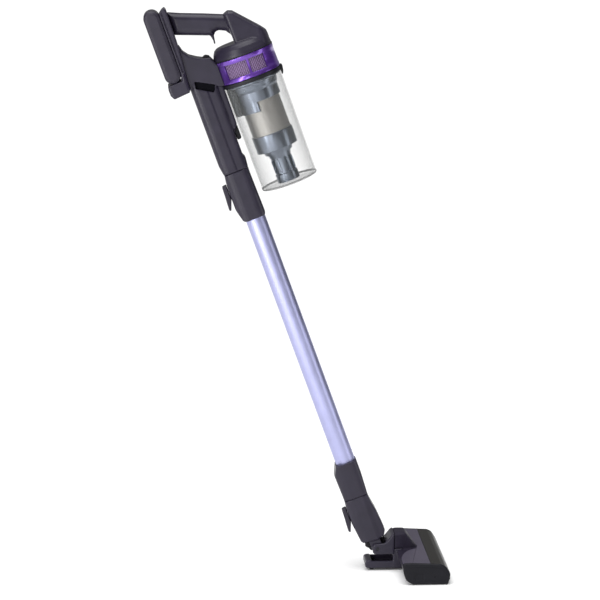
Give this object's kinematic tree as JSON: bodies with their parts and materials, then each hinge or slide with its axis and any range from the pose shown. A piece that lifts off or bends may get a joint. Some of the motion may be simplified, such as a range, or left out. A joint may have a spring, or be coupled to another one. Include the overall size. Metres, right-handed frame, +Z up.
{
  "type": "cordless stick vacuum cleaner",
  "caption": "Cordless stick vacuum with a slide-off battery, clear cyclone dust bin, metal wand, tilting and swivelling neck, and a roller floor head.",
  "frame": {"origin": "middle of the sole plate's flat underside, on the floor", "axes": "+Z up from the floor; -Y the way the head is pushed forward; X along the roller, across the head"},
  "size_m": [0.25, 0.5582, 1.0594],
  "materials": {
    "charcoal": "fine texture, slightly satin, violet-charcoal",
    "grey": "satin moulded grey",
    "black": "satin black",
    "gunmetal": "satin gunmetal plastic",
    "purple": "glossy metallic purple",
    "lavender": "satin anodised, lavender",
    "mesh_steel": "fine woven metal screen",
    "motor_metal": "plain metal case",
    "steel": "turned pin stock",
    "clear": "clear polycarbonate",
    "smoke": "dark translucent, glossy",
    "pile": "soft short pile",
    "foam": "filter foam",
    "board": "circuit board",
    "wrap": "wrapped metal cells",
    "rubber": "soft ribbed rubber"
  },
  "bodies": {
    "handle_unit": {"body_shell_left": "charcoal", "body_shell_right": "charcoal", "motor_cover": "charcoal", "exhaust_ring": "purple", "exhaust_filter": "mesh_steel", "suction_motor": "motor_metal", "motor_mount": "rubber", "control_board": "board", "battery_bay": "charcoal", "battery_terminal": "black", "bin_guide": "black", "trigger_pin": "steel"},
    "trigger": {"power_trigger": "charcoal"},
    "bin_button": {"bin_button": "black"},
    "impeller": {"impeller": "gunmetal"},
    "battery": {"battery_case": "grey", "battery_cells": "wrap"},
    "battery_release": {"battery_release": "grey"},
    "cyclone_unit": {"bin_rim": "black", "cyclone_body": "gunmetal", "cyclone_mesh": "mesh_steel", "cyclone_skirt": "gunmetal", "cyclone_cone": "gunmetal", "pre_filter": "foam"},
    "bin": {"dust_bin": "clear"},
    "wand": {"wand_pipe": "lavender", "wand_collar": "charcoal", "wand_foot": "charcoal", "wand_lever_pin": "steel"},
    "wand_lever": {"wand_lever": "grey"},
    "neck": {"neck_tube": "charcoal", "neck_lever_pin": "steel", "bellows": "rubber"},
    "neck_lever": {"neck_lever": "grey"},
    "knuckle": {"swivel_knuckle": "charcoal", "pitch_pin_left": "steel", "pitch_pin_right": "steel"},
    "head": {"head_chassis": "charcoal", "head_cover": "charcoal", "head_strip": "grey", "head_window": "smoke", "sole_plate": "grey", "end_cap_left": "black", "end_cap_right": "black", "brush_motor": "motor_metal", "drive_belt": "rubber", "wheel_axle": "steel"},
    "roller": {"brush_core": "charcoal", "brush_pile": "pile"},
    "motor_pulley": {"motor_pulley": "steel"},
    "wheel_left": {"tail_wheel_left": "rubber"},
    "wheel_right": {"tail_wheel_right": "rubber"}
  },
  "joints": [
    {"name": "trigger_pull", "type": "hinge", "parent": "handle_unit", "child": "trigger", "pos_m": [0, 0.37136, 1.02257], "axis": [1, 0, 0], "range_deg": [0, 12], "stiffness_Nm_per_rad": 0.3, "springref_deg": -5.73},
    {"name": "bin_button_press", "type": "slide", "parent": "handle_unit", "child": "bin_button", "axis": [0, -0.3404, -0.9403], "range_m": [0, 0.0022], "stiffness_N_per_m": 500, "springref_m": -0.002},
    {"name": "impeller_spin", "type": "hinge", "parent": "handle_unit", "child": "impeller", "pos_m": [0, 0.30055, 0.95036], "axis": [0, 0.3404, 0.9403], "continuous": true},
    {"name": "battery_slide", "type": "slide", "parent": "handle_unit", "child": "battery", "axis": [0, 0.3404, 0.9403], "range_m": [0, 0.15]},
    {"name": "battery_release_press", "type": "slide", "parent": "handle_unit", "child": "battery_release", "axis": [0, -0.9403, 0.3404], "range_m": [0, 0.0022], "stiffness_N_per_m": 500, "springref_m": -0.002},
    {"name": "cyclone_drop", "type": "slide", "parent": "handle_unit", "child": "cyclone_unit", "axis": [0, -0.3404, -0.9403], "range_m": [0, 0.2]},
    {"name": "bin_drop", "type": "slide", "parent": "cyclone_unit", "child": "bin", "axis": [0, -0.3404, -0.9403], "range_m": [0, 0.18]},
    {"name": "wand_slide", "type": "slide", "parent": "handle_unit", "child": "wand", "axis": [0, -0.3404, -0.9403], "range_m": [0, 0.06]},
    {"name": "wand_lever_press", "type": "hinge", "parent": "wand", "child": "wand_lever", "pos_m": [0, 0.33114, 0.7117], "axis": [-1, 0, 0], "range_deg": [0, 8], "stiffness_Nm_per_rad": 0.4, "springref_deg": -5.73},
    {"name": "neck_slide", "type": "slide", "parent": "wand", "child": "neck", "axis": [0, -0.3404, -0.9403], "range_m": [0, 0.06]},
    {"name": "neck_lever_press", "type": "hinge", "parent": "neck", "child": "neck_lever", "pos_m": [0, 0.10785, 0.09487], "axis": [-1, 0, 0], "range_deg": [0, 8], "stiffness_Nm_per_rad": 0.4, "springref_deg": -5.73},
    {"name": "neck_pitch", "type": "hinge", "parent": "neck", "child": "knuckle", "pos_m": [0, 0.06, 0.042], "axis": [1, 0, 0], "range_deg": [-19.9, 55], "deforming": ["bellows"]},
    {"name": "head_swivel", "type": "hinge", "parent": "knuckle", "child": "head", "pos_m": [0, 0.03, 0.042], "axis": [0, 1, 0], "range_deg": [-45, 45]},
    {"name": "roller_spin", "type": "hinge", "parent": "head", "child": "roller", "pos_m": [0, -0.042, 0.0162], "axis": [1, 0, 0], "continuous": true},
    {"name": "motor_pulley_spin", "type": "hinge", "parent": "head", "child": "motor_pulley", "pos_m": [0.114, -0.003, 0.02], "axis": [1, 0, 0], "continuous": true},
    {"name": "wheel_left_spin", "type": "hinge", "parent": "head", "child": "wheel_left", "pos_m": [-0.012, 0.071, 0.008], "axis": [1, 0, 0], "continuous": true},
    {"name": "wheel_right_spin", "type": "hinge", "parent": "head", "child": "wheel_right", "pos_m": [0.012, 0.071, 0.008], "axis": [1, 0, 0], "continuous": true}
  ],
  "couplings": [
    {"joint": "motor_pulley_spin", "follows": "roller_spin", "ratio": 1.5}
  ]
}
